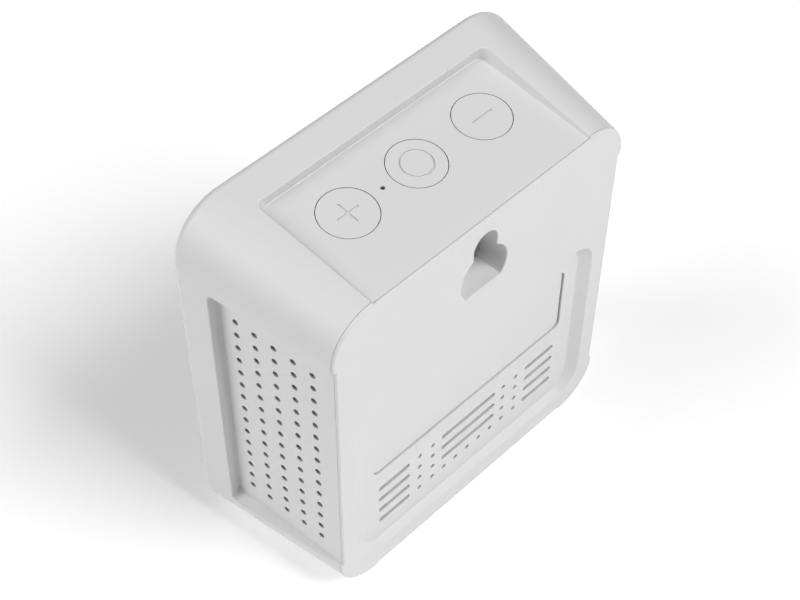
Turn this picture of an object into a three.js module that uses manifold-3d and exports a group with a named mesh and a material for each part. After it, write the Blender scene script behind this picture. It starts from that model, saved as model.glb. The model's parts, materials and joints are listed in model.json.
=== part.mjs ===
// Air quality monitor: a square table and wall unit. Millimetres, +Z up, front face towards -Y.
// The origin is on the table, under the middle of the bounding box.
import * as THREE from "three";
import { mergeVertices } from "three/addons/utils/BufferGeometryUtils.js";
import Module from "manifold-3d";

const wasm = await Module();
wasm.setup();

// ---------------------------------------------------------------- driving dimensions

const DEG = Math.PI / 180;
const DEPTH = 39.2; // front face to rear face
const REAR_Y = DEPTH / 2;
const FRONT_Y = -DEPTH / 2;
const GAP = 0.3; // clearance between neighbouring pieces
const WALL = 2.2;
const THROUGH = 5; // how far a cutter runs past the face it opens

// Outline of the case at the rear face. It grows towards the front, where a fillet rounds it off.
const REAR = { halfWidth: 40.75, bottom: 2.6, top: 92.9, radius: 10.3 };
const TAPER = { side: 8.4 * DEG, top: 8.25 * DEG, bottom: 3.1 * DEG };
const RADIUS_GROWTH = 0.0615; // corner radius gained per millimetre towards the front
const FRONT_FILLET = 2.2;

// Each side has a shallow recess, open at the rear face and walled off by the front rim.
const RECESS_LENGTH = 30.7; // along the floor, from the rear face to the front rim
const RECESS_CORNER = 1.6;
const RECESS_END_SLOPE = 0.6; // run over rise of the recess's end walls
const FLOOR = {
  side: { offset: 40.13, tilt: 4.74 * DEG, halfLength: 33.6, turn: 90 * DEG, centreZ: 47.4 },
  top: { offset: 92.3, tilt: 4.72 * DEG, halfLength: 29.9, turn: 0 },
  bottom: { offset: 3.1, tilt: 1.5 * DEG, halfLength: 29.9, turn: 180 * DEG },
};
const EVERYWHERE = [-100, 100];

const GRILLE = { columns: 5, rows: 15, columnPitch: 5, rowPitch: 4, firstColumn: 6.2, radius: 0.75 };

const COVER_EDGE = 0.6; // visible thickness of the rear cover's rim
const COVER_PLATE = 2.2;
const POCKET = { halfWidth: 35.8, bottom: 8.3, top: 59.2, radius: 7, depth: 1.87 };
const POCKET_SLOPE = { sideRun: 2.6, endRun: 1.35 }; // how far the pocket's walls run in, down to its floor
const POCKET_FLOOR_Y = REAR_Y - POCKET.depth;
const PAN_WALL = 2.0;
const VENT = { topRow: 27.3, rowPitch: 3.94, slotHalfHeight: 0.72, dotRadius: 0.6 };
const OUTER_SLOT = { from: 18.3, to: 27.7 };
const MIDDLE_SLOT_HALF = 8.5;
const DOT_COLUMNS = [11.2, 15.25];
const LAST_ROW_DOT_PITCH = 3.73;
const KEYHOLE = { slotRadius: 3.3, slotZ: 85.0, headRadius: 6.6, headZ: 76.9, flatZ: 72.6, lip: 3, depth: 7 };

const DOOR = { halfWidth: 28.9, bottom: 33.5, top: 52.35, radius: 1.8, sink: 0.5, thickness: 1.5, gap: 0.35 };
const DOOR_OUTER_Y = POCKET_FLOOR_Y - DOOR.sink;
const DOOR_INNER_Y = DOOR_OUTER_Y - DOOR.thickness;
const BAY = { halfWidth: 27.6, bottom: 34.8, top: 51.1, floorY: 0.75, wall: 1.3 };
const CELL = { radius: 7, length: 49, nubRadius: 2.7, nubLength: 1.2 };
const CELL_Y = BAY.floorY + GAP + CELL.radius;
const CELL_Z = (BAY.bottom + BAY.top) / 2;
const CELL_START = -CELL.length / 2;
const CONTACT = { halfSize: 5, thickness: 0.5, dimpleRadius: 1.6 };
const SPRING = { turns: 2.5, wideRadius: 5, narrowRadius: 2.5, wire: 0.35 };

const BUTTON = { radius: 6.2, pitch: 18.53, fromRear: 19.0, gap: 0.25, flange: 7.4 };
const BUTTON_MARK = { halfLength: 2.8, halfWidth: 0.2, depth: 0.3, ringRadius: 3.43 };
const SWITCH_TOP = -5.8; // below the top floor
const PINHOLE_RADIUS = 0.5;
const BUTTON_BOARD = { halfLength: 31, halfDepth: 7, top: -9.6, thickness: 1.2, postX: 28.7 };

const LENS = { halfWidth: 39.5, bottom: 6.9, top: 91.9, radius: 8, thickness: 2 };
const LEDGE_Y = FRONT_Y + LENS.thickness + GAP;
const FRONT_WALL_Y = LEDGE_Y + 1.8; // inner face of the case's front wall
const WINDOW = { halfWidth: 32, bottom: 36, top: 84, radius: 1.5 };
const DISPLAY = { halfWidth: 33.8, bottom: 34, top: 86, thickness: 2.6 };

const BOARD = { halfWidth: 38.6, bottom: 7, top: 81.5, radius: 3, frontY: -9.5, thickness: 1.6 };
const BOARD_REAR_Y = BOARD.frontY + BOARD.thickness;
const PARTS_Y = BOARD_REAR_Y + GAP; // where the board's parts start
const BOSS = { x: 37, low: 11, high: 78, radius: 2.3, pilot: 1.2 };
const SCREW = { headRadius: 2, headHeight: 1.4, shankRadius: 0.85, length: 5 };

const SENSOR = { halfWidth: 28, bottom: 11.2, top: 31, rearY: 12.4, wall: 1.3 };
const FAN = { x: 14, radius: 8.4, hub: 3.6, height: 5, post: 1.0, bore: 1.1, blades: 7 };
const CHIPS = [
  { x: [-8, 2], z: [38, 48], height: 1.2 },
  { x: [8, 14], z: [40, 48], height: 1 },
];
const CO2 = { x: [4, 35], z: [57, 76], height: 9 };
const CO2_MEMBRANE = { x: [8, 26], z: [60, 73], height: 9.6 };
const CO2_TUBE = { x: 30, z: 66.5, radius: 3.2, height: 10.2 };
const BUZZER = { x: -26, z: 60, radius: 5, height: 4.5, holeRadius: 1 };
const HUMIDITY = { x: 34.2, thickness: 1, z: [40, 52], height: 9 };
const HUMIDITY_CHIP = { rise: [4.5, 7.5], z: [44.5, 47.5] };
const USB = { halfWidth: 4.5, halfDepth: 1.6, radius: 1.5, y: -5.6, bottom: 3.0, top: 10.3, wall: 0.4 };
const USB_OPENING = { halfWidth: 5.2, halfDepth: 2.1 };
const HOOK = { x: 22, halfWidth: 3, fromY: 12.2, thickness: 1.2, barb: 0.9, barbLength: 1.6 };
const HOOK_TOP_Z = FLOOR.top.offset - WALL - 0.5;
const HOOK_BOTTOM_Z = FLOOR.bottom.offset + WALL + 0.5;
const FOOT = { x: 22, rearY: 11, frontY: -5, radius: 4 };

// ---------------------------------------------------------------- solids

// A closed three.js geometry as a manifold-3d solid.
function solid(geometry) {
  const bare = geometry.clone();
  bare.deleteAttribute("normal");
  bare.deleteAttribute("uv");
  const merged = mergeVertices(bare, 1e-4);
  const corners = merged.index.array;
  const triVerts = [];
  for (let i = 0; i < corners.length; i += 3) {
    const [a, b, c] = corners.slice(i, i + 3);
    if (a !== b && b !== c && c !== a) triVerts.push(a, b, c);
  }
  const mesh = new wasm.Mesh({
    numProp: 3,
    vertProperties: merged.attributes.position.array,
    triVerts: new Uint32Array(triVerts),
  });
  return new wasm.Manifold(mesh);
}

function geometryOf(shape) {
  const { vertProperties, triVerts } = shape.getMesh();
  const geometry = new THREE.BufferGeometry();
  geometry.setAttribute("position", new THREE.BufferAttribute(vertProperties, 3));
  geometry.setIndex(new THREE.BufferAttribute(triVerts, 1));
  return geometry.toNonIndexed();
}

function union(...shapes) {
  return shapes.reduce((all, next) => all.add(next));
}

function box([x0, x1], [y0, y1], [z0, z1]) {
  const geometry = new THREE.BoxGeometry(x1 - x0, y1 - y0, z1 - z0);
  return solid(geometry.translate((x0 + x1) / 2, (y0 + y1) / 2, (z0 + z1) / 2));
}

function cylinderY(radius, [y0, y1], x, z, sides = 16) {
  const geometry = new THREE.CylinderGeometry(radius, radius, y1 - y0, sides);
  return solid(geometry.translate(x, (y0 + y1) / 2, z));
}

function cylinderZ(radius, [z0, z1], x, y, sides = 16) {
  const geometry = new THREE.CylinderGeometry(radius, radius, z1 - z0, sides);
  return solid(geometry.rotateX(90 * DEG).translate(x, y, (z0 + z1) / 2));
}

// Four corner arcs of a rectangle with round corners, as points or as a shape.
function roundedPoints(halfWidth, bottom, top, radius, steps) {
  const centres = [
    [halfWidth - radius, top - radius],
    [radius - halfWidth, top - radius],
    [radius - halfWidth, bottom + radius],
    [halfWidth - radius, bottom + radius],
  ];
  return centres.flatMap(([x, z], corner) =>
    Array.from({ length: steps + 1 }, (_, i) => {
      const angle = (corner + i / steps) * 90 * DEG;
      return new THREE.Vector2(x + radius * Math.cos(angle), z + radius * Math.sin(angle));
    }),
  );
}

function roundedShape({ halfWidth, bottom, top, radius }, grow = 0, steps = 4) {
  const points = roundedPoints(halfWidth + grow, bottom - grow, top + grow, radius + grow, steps);
  return new THREE.Shape(points);
}

// A shape drawn in X and Z, run along Y from y0 to y1.
function prismY(shape, [y0, y1]) {
  const geometry = new THREE.ExtrudeGeometry(shape, { depth: y1 - y0, bevelEnabled: false });
  return solid(geometry.rotateX(90 * DEG).translate(0, y1, 0));
}

// Joins convex rings of equal length, each a list of Vector3, into one closed solid.
function loft(rings) {
  const count = rings[0].length;
  const last = (rings.length - 1) * count;
  const triangles = [];
  for (let ring = 0; ring < last; ring += count) {
    for (let i = 0; i < count; i++) {
      const next = (i + 1) % count;
      const [a, b, c, d] = [ring + i, ring + next, ring + count + i, ring + count + next];
      triangles.push(a, b, d, a, d, c);
    }
  }
  for (let i = 1; i + 1 < count; i++) {
    triangles.push(0, i + 1, i, last, last + i, last + i + 1);
  }
  const geometry = new THREE.BufferGeometry().setFromPoints(rings.flat());
  geometry.setIndex(triangles);
  return solid(geometry);
}

// A rounded rectangle in X and Z at one Y, its points running so that a loft towards -Y faces out.
function ringAt(y, { halfWidth, bottom, top, radius }, inset = 0, steps = 8) {
  const points = roundedPoints(halfWidth - inset, bottom + inset, top - inset, radius - inset, steps);
  return points.map((p) => new THREE.Vector3(p.x, y, p.y));
}

function placed(shape, matrix) {
  return shape.transform(matrix.elements);
}

// ---------------------------------------------------------------- case shape

// Outline of the outer corner surfaces at a distance ahead of the rear face.
function outlineAt(ahead) {
  return {
    halfWidth: REAR.halfWidth + ahead * Math.tan(TAPER.side),
    bottom: REAR.bottom - ahead * Math.tan(TAPER.bottom),
    top: REAR.top + ahead * Math.tan(TAPER.top),
    radius: REAR.radius + ahead * RADIUS_GROWTH,
  };
}

// Outline of the inside of the case, one wall in from the recess floors.
function cavityAt(ahead) {
  return {
    halfWidth: FLOOR.side.offset + ahead * Math.tan(FLOOR.side.tilt) - WALL,
    bottom: FLOOR.bottom.offset - ahead * Math.tan(FLOOR.bottom.tilt) + WALL,
    top: FLOOR.top.offset + ahead * Math.tan(FLOOR.top.tilt) - WALL,
    radius: 8,
  };
}

function outerBlock() {
  const filletStart = DEPTH - FRONT_FILLET;
  const rings = [ringAt(REAR_Y, outlineAt(0))];
  const filletSteps = 4;
  for (let step = 0; step <= filletSteps; step++) {
    const angle = (step / filletSteps) * 90 * DEG;
    const y = REAR_Y - filletStart - FRONT_FILLET * Math.sin(angle);
    rings.push(ringAt(y, outlineAt(filletStart), FRONT_FILLET * (1 - Math.cos(angle))));
  }
  return loft(rings);
}

// The matrix that puts a floor's own frame in place: X along the recess, Y to the rear, Z out of it.
function floorFrame({ tilt, turn }, x, z) {
  return new THREE.Matrix4()
    .makeTranslation(x, REAR_Y, z)
    .multiply(new THREE.Matrix4().makeRotationY(turn))
    .multiply(new THREE.Matrix4().makeRotationX(-tilt));
}

const TOP_FRAME = floorFrame(FLOOR.top, 0, FLOOR.top.offset);
const BOTTOM_FRAME = floorFrame(FLOOR.bottom, 0, FLOOR.bottom.offset);
const RIGHT_FRAME = floorFrame(FLOOR.side, FLOOR.side.offset, FLOOR.side.centreZ);
const MIRROR_X = new THREE.Matrix4().makeScale(-1, 1, 1);

function mirrored(shape) {
  return shape.mirror([1, 0, 0]);
}

// The space above a recess floor: sloped end walls, an upright front wall and round front corners.
function recessCutter(halfLength) {
  const height = 12;
  const ringAtHeight = (z) => {
    const reach = halfLength + z * RECESS_END_SLOPE;
    const points = [new THREE.Vector3(-reach, THROUGH, z)];
    const steps = 3;
    for (const side of [-1, 1]) {
      for (let step = 0; step <= steps; step++) {
        const angle = (side < 0 ? 180 : 270) * DEG + (step / steps) * 90 * DEG;
        const x = side * (reach - RECESS_CORNER) + RECESS_CORNER * Math.cos(angle);
        const y = RECESS_CORNER - RECESS_LENGTH + RECESS_CORNER * Math.sin(angle);
        points.push(new THREE.Vector3(x, y, z));
      }
    }
    points.push(new THREE.Vector3(reach, THROUGH, z));
    return points;
  };
  return loft([ringAtHeight(0), ringAtHeight(height)]);
}

function outerBody() {
  const side = placed(recessCutter(FLOOR.side.halfLength), RIGHT_FRAME);
  return outerBlock()
    .subtract(placed(recessCutter(FLOOR.top.halfLength), TOP_FRAME))
    .subtract(placed(recessCutter(FLOOR.bottom.halfLength), BOTTOM_FRAME))
    .subtract(side)
    .subtract(mirrored(side));
}

const BODY = outerBody();

// ---------------------------------------------------------------- front case

// The perforated grille of one side, as the holes to cut, in the side floor's own frame.
function grilleHoles() {
  const holes = [];
  for (let column = 0; column < GRILLE.columns; column++) {
    for (let row = 0; row < GRILLE.rows; row++) {
      const along = (row - (GRILLE.rows - 1) / 2) * GRILLE.rowPitch;
      const back = -GRILLE.firstColumn - column * GRILLE.columnPitch;
      holes.push(cylinderZ(GRILLE.radius, [-WALL - 2, 1], along, back, 6));
    }
  }
  return holes.reduce((all, next) => all.add(next));
}

const BUTTON_X = { plus: BUTTON.pitch, ring: 0, minus: -BUTTON.pitch };

// What the buttons need in the top wall: three round holes and the pinhole of the light sensor.
function buttonHoles() {
  const span = [-WALL - 2, 1];
  const y = -BUTTON.fromRear;
  const round = Object.values(BUTTON_X).map((x) =>
    cylinderZ(BUTTON.radius + BUTTON.gap, span, x, y, 32),
  );
  return union(...round, cylinderZ(PINHOLE_RADIUS, span, BUTTON.pitch / 2, y, 8));
}

// Two posts under the top wall carry the button board.
function buttonPosts() {
  const span = [BUTTON_BOARD.top + GAP, 0.4 - WALL];
  const post = (x) =>
    cylinderZ(2, span, x, -BUTTON.fromRear, 12).subtract(
      cylinderZ(SCREW.shankRadius + GAP, [span[0] - 1, span[0] + 5], x, -BUTTON.fromRear, 12),
    );
  return union(post(BUTTON_BOARD.postX), post(-BUTTON_BOARD.postX));
}

function bossPlaces() {
  return [-1, 1].flatMap((side) => [BOSS.low, BOSS.high].map((z) => [side * BOSS.x, z]));
}

function boardBosses() {
  const span = [FRONT_WALL_Y - 0.5, BOARD.frontY - GAP];
  const bosses = bossPlaces().map(([x, z]) =>
    cylinderY(BOSS.radius, span, x, z, 12).subtract(
      cylinderY(BOSS.pilot, [BOARD.frontY - 5, BOARD.frontY + 1], x, z, 12),
    ),
  );
  return union(...bosses);
}

// The rear cover's snap hooks: tabs that run forward to a barb. "grow" turns the barbs into notches.
function snapHooks(grow = 0) {
  const hooks = [];
  for (const x of [-HOOK.x, HOOK.x]) {
    for (const [z, out] of [[HOOK_TOP_Z, 1], [HOOK_BOTTOM_Z, -1]]) {
      const across = [x - HOOK.halfWidth - grow, x + HOOK.halfWidth + grow];
      const tab = [z, z - out * HOOK.thickness].sort((a, b) => a - b);
      const barb = [z - out * 0.1, z + out * (HOOK.barb + grow)].sort((a, b) => a - b);
      const tip = [HOOK.fromY - grow, HOOK.fromY + HOOK.barbLength + grow];
      if (grow === 0) hooks.push(box(across, [HOOK.fromY, REAR_Y - COVER_PLATE + 0.5], tab));
      hooks.push(box(across, tip, barb));
    }
  }
  return union(...hooks);
}

function usbOpening() {
  const { halfWidth, halfDepth } = USB_OPENING;
  return box([-halfWidth, halfWidth], [USB.y - halfDepth, USB.y + halfDepth], [-1, USB.bottom + THROUGH]);
}

function frontCase() {
  const cavityDepth = REAR_Y - FRONT_WALL_Y;
  const cavity = loft([
    ringAt(REAR_Y + THROUGH, cavityAt(-THROUGH)),
    ringAt(REAR_Y - cavityDepth, cavityAt(cavityDepth)),
  ]);
  const grille = placed(grilleHoles(), RIGHT_FRAME);
  const behindCover = box(EVERYWHERE, [FRONT_Y - 1, REAR_Y - COVER_EDGE - GAP], EVERYWHERE);
  return BODY.intersect(behindCover)
    .subtract(cavity)
    .add(boardBosses())
    .add(placed(buttonPosts(), TOP_FRAME))
    .subtract(prismY(roundedShape(LENS, GAP), [FRONT_Y - 1, LEDGE_Y]))
    .subtract(prismY(roundedShape(WINDOW), [LEDGE_Y - 1, FRONT_WALL_Y + 1]))
    .subtract(placed(buttonHoles(), TOP_FRAME))
    .subtract(grille)
    .subtract(mirrored(grille))
    .subtract(usbOpening())
    .subtract(snapHooks(GAP));
}

// ---------------------------------------------------------------- rear cover

// A slot with round ends along X, as a shape in X and Z.
function slotShape(from, to, z, halfHeight) {
  const shape = new THREE.Shape();
  shape.absarc(to - halfHeight, z, halfHeight, -90 * DEG, 90 * DEG, false);
  shape.absarc(from + halfHeight, z, halfHeight, 90 * DEG, 270 * DEG, false);
  return new THREE.Shape(shape.getPoints(3));
}

function ventOpenings() {
  const span = [POCKET_FLOOR_Y - PAN_WALL - 1, POCKET_FLOOR_Y + 1];
  const openings = [];
  const slot = (from, to, z) => openings.push(prismY(slotShape(from, to, z, VENT.slotHalfHeight), span));
  const dot = (x, z) => openings.push(cylinderY(VENT.dotRadius, span, x, z, 6));
  for (let row = 0; row < 4; row++) {
    const z = VENT.topRow - row * VENT.rowPitch;
    slot(OUTER_SLOT.from, OUTER_SLOT.to, z);
    slot(-OUTER_SLOT.to, -OUTER_SLOT.from, z);
    for (const x of DOT_COLUMNS) {
      dot(x, z);
      dot(-x, z);
    }
    if (row < 3) slot(-MIDDLE_SLOT_HALF, MIDDLE_SLOT_HALF, z);
    else for (let i = -2; i <= 2; i++) dot(i * LAST_ROW_DOT_PITCH, z);
  }
  return union(...openings);
}

// The keyhole for a screw in the wall: the head enters the wide lobe and slides under the lip.
function keyholeCutter() {
  const { slotRadius, slotZ, headRadius, headZ, flatZ, lip, depth } = KEYHOLE;
  const wide = (span) =>
    cylinderY(headRadius, span, 0, headZ, 32).subtract(
      box(EVERYWHERE, [span[0] - 1, span[1] + 1], [flatZ - headRadius, flatZ]),
    );
  const throughLip = [REAR_Y - lip - 0.1, REAR_Y + 1];
  const behindLip = [REAR_Y - depth, REAR_Y - lip];
  return union(
    wide([behindLip[0], throughLip[1]]),
    cylinderY(slotRadius, throughLip, 0, slotZ, 24),
    box([-slotRadius, slotRadius], throughLip, [headZ, slotZ]),
    box([-5, 5], behindLip, [headZ, slotZ + slotRadius]),
  );
}

function keyholeHousing() {
  const side = KEYHOLE.headRadius + 1.5;
  return box([-side, side], [REAR_Y - KEYHOLE.depth - 1.5, REAR_Y - 1], [KEYHOLE.flatZ - 1.5, 89.8]);
}

function pocketCutter() {
  const { halfWidth, bottom, top, radius, depth } = POCKET;
  const { sideRun, endRun } = POCKET_SLOPE;
  const mouth = ringAt(REAR_Y, POCKET, 0, 6);
  const floorShape = {
    halfWidth: halfWidth - sideRun,
    bottom: bottom + endRun,
    top: top - endRun,
    radius: radius - endRun,
  };
  const above = ringAt(REAR_Y + 1, POCKET, 0, 6);
  return loft([above, mouth, ringAt(REAR_Y - depth, floorShape, 0, 6)]);
}

function rearCover() {
  const rim = BODY.intersect(box(EVERYWHERE, [REAR_Y - COVER_EDGE, REAR_Y + 1], EVERYWHERE));
  const inside = cavityAt(0);
  const plug = prismY(roundedShape(inside, -GAP, 8), [REAR_Y - 3.3, REAR_Y - 0.5]);
  const hollow = prismY(roundedShape(inside, -GAP - 1.4, 8), [REAR_Y - 4, REAR_Y - COVER_PLATE]);
  const pan = prismY(roundedShape(POCKET, -0.8), [POCKET_FLOOR_Y - PAN_WALL, REAR_Y - 1]);
  const { halfWidth, bottom, top, floorY, wall } = BAY;
  const bayBox = box(
    [-halfWidth - wall, halfWidth + wall],
    [floorY - wall, POCKET_FLOOR_Y - 0.5],
    [bottom - wall, top + wall],
  );
  const bayHollow = box([-halfWidth, halfWidth], [floorY, REAR_Y], [bottom, top]);
  const doorSeat = prismY(roundedShape(DOOR, DOOR.gap), [DOOR_INNER_Y - GAP, REAR_Y]);
  return union(rim, plug)
    .subtract(hollow)
    .add(pan)
    .add(snapHooks())
    .add(keyholeHousing())
    .add(bayBox)
    .subtract(pocketCutter())
    .subtract(doorSeat)
    .subtract(bayHollow)
    .subtract(ventOpenings())
    .subtract(keyholeCutter());
}

function batteryDoor() {
  return prismY(roundedShape(DOOR), [DOOR_INNER_Y, DOOR_OUTER_Y]);
}

// ---------------------------------------------------------------- battery

// The cell lies along X, its positive end towards +X.
function batteryCell() {
  const { radius, length, nubRadius, nubLength } = CELL;
  const outline = [
    [0, 0],
    [radius - 0.4, 0],
    [radius, 0.4],
    [radius, length - 0.6],
    [radius - 0.6, length],
    [nubRadius, length],
    [nubRadius, length + nubLength],
    [0, length + nubLength],
  ];
  const profile = outline.map(([r, along]) => new THREE.Vector2(r, along));
  const geometry = new THREE.LatheGeometry(profile, 28);
  geometry.rotateZ(-90 * DEG).translate(CELL_START, CELL_Y, CELL_Z);
  return solid(geometry);
}

function batteryContact() {
  const { halfSize, thickness, dimpleRadius } = CONTACT;
  const x = BAY.halfWidth - GAP;
  const dimple = new THREE.CylinderGeometry(dimpleRadius, dimpleRadius - 0.6, 0.6, 12);
  dimple.rotateZ(-90 * DEG).translate(x - thickness - 0.2, CELL_Y, CELL_Z);
  const plate = box(
    [x - thickness, x],
    [CELL_Y - halfSize, CELL_Y + halfSize],
    [CELL_Z - halfSize, CELL_Z + halfSize],
  );
  return plate.add(solid(dimple));
}

// A conical spring of round wire behind the cell's negative end.
class SpringPath extends THREE.Curve {
  getPoint(t, target = new THREE.Vector3()) {
    const radius = SPRING.wideRadius + t * (SPRING.narrowRadius - SPRING.wideRadius);
    const angle = t * SPRING.turns * 2 * Math.PI;
    const fromX = GAP + 0.5 - BAY.halfWidth;
    const toX = CELL_START - GAP - 0.5;
    const x = fromX + t * (toX - fromX);
    return target.set(x, CELL_Y + radius * Math.cos(angle), CELL_Z + radius * Math.sin(angle));
  }
}

function batterySpring() {
  const wire = new THREE.Shape().absarc(0, 0, SPRING.wire, 0, 2 * Math.PI, false);
  const section = new THREE.Shape(wire.getPoints(6).slice(0, -1));
  const geometry = new THREE.ExtrudeGeometry(section, { steps: 44, extrudePath: new SpringPath() });
  return solid(geometry);
}

// ---------------------------------------------------------------- buttons

// Each button is modelled in the top floor's frame: Z = 0 is flush with the floor.
function markCutter(name) {
  const { halfLength, halfWidth, depth, ringRadius } = BUTTON_MARK;
  const span = [-depth, 1];
  const bar = box([-halfLength, halfLength], [-halfWidth, halfWidth], span);
  if (name === "minus") return bar;
  if (name === "plus") return bar.add(box([-halfWidth, halfWidth], [-halfLength, halfLength], span));
  return cylinderZ(ringRadius + halfWidth, span, 0, 0, 32).subtract(
    cylinderZ(ringRadius - halfWidth, [span[0] - 1, span[1] + 1], 0, 0, 32),
  );
}

function buttonCap(name) {
  const flangeTop = -WALL - GAP;
  return cylinderZ(BUTTON.radius, [flangeTop - 0.8, 0], 0, 0, 32)
    .add(cylinderZ(BUTTON.flange, [flangeTop - 0.8, flangeTop], 0, 0, 32))
    .add(cylinderZ(1.6, [-5, flangeTop], 0, 0, 12))
    .subtract(markCutter(name));
}

function switchPlunger() {
  return cylinderZ(1.2, [SWITCH_TOP - 1.2, SWITCH_TOP + 0.5], 0, 0, 12);
}

function switchBody() {
  const well = cylinderZ(1.5, [SWITCH_TOP - 2, SWITCH_TOP + 1], 0, 0, 12);
  return box([-3, 3], [-3, 3], [BUTTON_BOARD.top + GAP, SWITCH_TOP]).subtract(well);
}

function buttonBoard() {
  const { halfLength, halfDepth, top, thickness, postX } = BUTTON_BOARD;
  const holes = [-postX, postX].map((x) => cylinderZ(1.2, [top - 3, top + 1], x, 0, 12));
  return box([-halfLength, halfLength], [-halfDepth, halfDepth], [top - thickness, top]).subtract(
    union(...holes),
  );
}

function buttonBoardScrew() {
  const seat = BUTTON_BOARD.top - BUTTON_BOARD.thickness - GAP;
  return cylinderZ(SCREW.headRadius, [seat - SCREW.headHeight, seat], 0, 0, 12).add(
    cylinderZ(SCREW.shankRadius, [seat - 0.5, seat + SCREW.length], 0, 0, 12),
  );
}

function lightSensor() {
  const seat = BUTTON_BOARD.top + GAP;
  return box([-1.5, 1.5], [-1.5, 1.5], [seat, seat + 1.2]).add(
    cylinderZ(0.9, [seat + 1, seat + 2], 0, 0, 12),
  );
}

// ---------------------------------------------------------------- display and boards

function displayLens() {
  return prismY(roundedShape(LENS, 0, 6), [FRONT_Y, FRONT_Y + LENS.thickness]);
}

function displayPanel() {
  const { halfWidth, bottom, top, thickness } = DISPLAY;
  const frontY = FRONT_WALL_Y + GAP;
  return box([-halfWidth, halfWidth], [frontY, frontY + thickness], [bottom, top]);
}

function mainBoard() {
  const holes = bossPlaces().map(([x, z]) =>
    cylinderY(BOSS.pilot, [BOARD.frontY - 1, BOARD_REAR_Y + 1], x, z, 12),
  );
  const plate = prismY(roundedShape(BOARD), [BOARD.frontY, BOARD_REAR_Y]);
  const chips = CHIPS.map(({ x, z, height }) => box(x, [BOARD_REAR_Y - 0.2, BOARD_REAR_Y + height], z));
  return union(plate.subtract(union(...holes)), ...chips);
}

function boardScrew() {
  return cylinderY(SCREW.headRadius, [PARTS_Y, PARTS_Y + SCREW.headHeight], 0, 0, 12).add(
    cylinderY(SCREW.shankRadius, [PARTS_Y - SCREW.length, PARTS_Y + 0.5], 0, 0, 12),
  );
}

// A flat flexible cable whose middle line runs through (y, z) points; it is "width" wide across X.
function ribbon(points, x, width, thickness = 0.3) {
  const line = points.map(([y, z]) => new THREE.Vector2(y, z));
  const normals = line.map((_, i) => {
    const along = line[Math.min(i + 1, line.length - 1)].clone().sub(line[Math.max(i - 1, 0)]);
    return new THREE.Vector2(-along.y, along.x).normalize().multiplyScalar(thickness / 2);
  });
  const left = line.map((p, i) => p.clone().add(normals[i]));
  const right = line.map((p, i) => p.clone().sub(normals[i])).reverse();
  const shape = new THREE.Shape([...left, ...right]);
  const geometry = new THREE.ExtrudeGeometry(shape, { depth: width, bevelEnabled: false });
  // The shape's X is Y here, and its Y is Z, so the extrusion runs along X.
  const toYZ = new THREE.Matrix4().makeBasis(
    new THREE.Vector3(0, 1, 0),
    new THREE.Vector3(0, 0, 1),
    new THREE.Vector3(1, 0, 0),
  );
  return solid(geometry.applyMatrix4(toYZ).translate(x - width / 2, 0, 0));
}

// From the back of the display, round in a loop, to the front of the main board.
function displayRibbon() {
  const panelRear = FRONT_WALL_Y + DISPLAY.thickness + 2 * GAP;
  return ribbon(
    [
      [panelRear + 0.2, 40],
      [panelRear + 0.3, 34],
      [panelRear + 0.9, 30],
      [panelRear + 1.6, 27],
      [BOARD.frontY - 0.5, 22],
      [BOARD.frontY - 0.5, 16],
    ],
    0,
    16,
  );
}

// From the edge of the button board down to the back of the main board.
function buttonRibbon() {
  return ribbon(
    [
      [-4.2, 82.0],
      [-5.2, 80.2],
      [-6.4, 78.4],
      [PARTS_Y + 0.2, 75],
      [PARTS_Y + 0.2, 69],
    ],
    -22,
    8,
  );
}

function usbPort() {
  const { halfWidth, halfDepth, radius, y, bottom, top, wall } = USB;
  const outline = { halfWidth, bottom: -halfDepth, top: halfDepth, radius };
  const shell = roundedShape(outline);
  const mouth = roundedShape(outline, -wall);
  const extrude = (shape, height) =>
    new THREE.ExtrudeGeometry(shape, { depth: height, bevelEnabled: false });
  const height = top - bottom;
  const tube = solid(extrude(shell, height)).subtract(
    solid(extrude(mouth, height - 1).translate(0, 0, -0.2)),
  );
  const tongue = box([-3.2, 3.2], [-0.35, 0.35], [0.8, height - 0.5]);
  return tube.add(tongue).translate([0, y, bottom]);
}

// ---------------------------------------------------------------- sensors

// The particulate sensor: an air channel on one side, a fan well on the other, open to the rear.
function particulateSensor() {
  const { halfWidth, bottom, top, rearY, wall } = SENSOR;
  const middle = (bottom + top) / 2;
  const wellFloor = rearY - FAN.height - 1.6;
  const block = box([-halfWidth, halfWidth], [PARTS_Y, rearY], [bottom, top]);
  const well = cylinderY(FAN.radius + 0.6, [wellFloor, rearY + 1], FAN.x, middle, 32);
  const post = cylinderY(FAN.post, [wellFloor - 0.5, rearY - 1], FAN.x, middle, 16);
  const channel = box([wall - halfWidth, -6], [PARTS_Y + wall, rearY + 1], [bottom + wall, top - wall]);
  const duct = box([-7, FAN.x], [PARTS_Y + 3, wellFloor + 0.5], [middle - 4, middle + 4]);
  return block.subtract(channel).subtract(duct).subtract(well).add(post);
}

// Rotor of the sensor's fan, its axis along Y through the origin, from Y = 0 to its height.
function sensorFan() {
  const { radius, hub, height, bore, blades } = FAN;
  let rotor = cylinderY(hub, [0, height], 0, 0, 24);
  for (let i = 0; i < blades; i++) {
    const blade = new THREE.BoxGeometry(radius - hub + 0.6, height - 0.8, 0.7);
    blade.rotateX(35 * DEG).translate((radius + hub - 0.6) / 2, height / 2, 0);
    rotor = rotor.add(solid(blade.rotateY((i / blades) * 360 * DEG)));
  }
  const faces = box(EVERYWHERE, [0, height], EVERYWHERE);
  return rotor.intersect(faces).subtract(cylinderY(bore, [-1, height + 1], 0, 0, 16));
}

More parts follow.
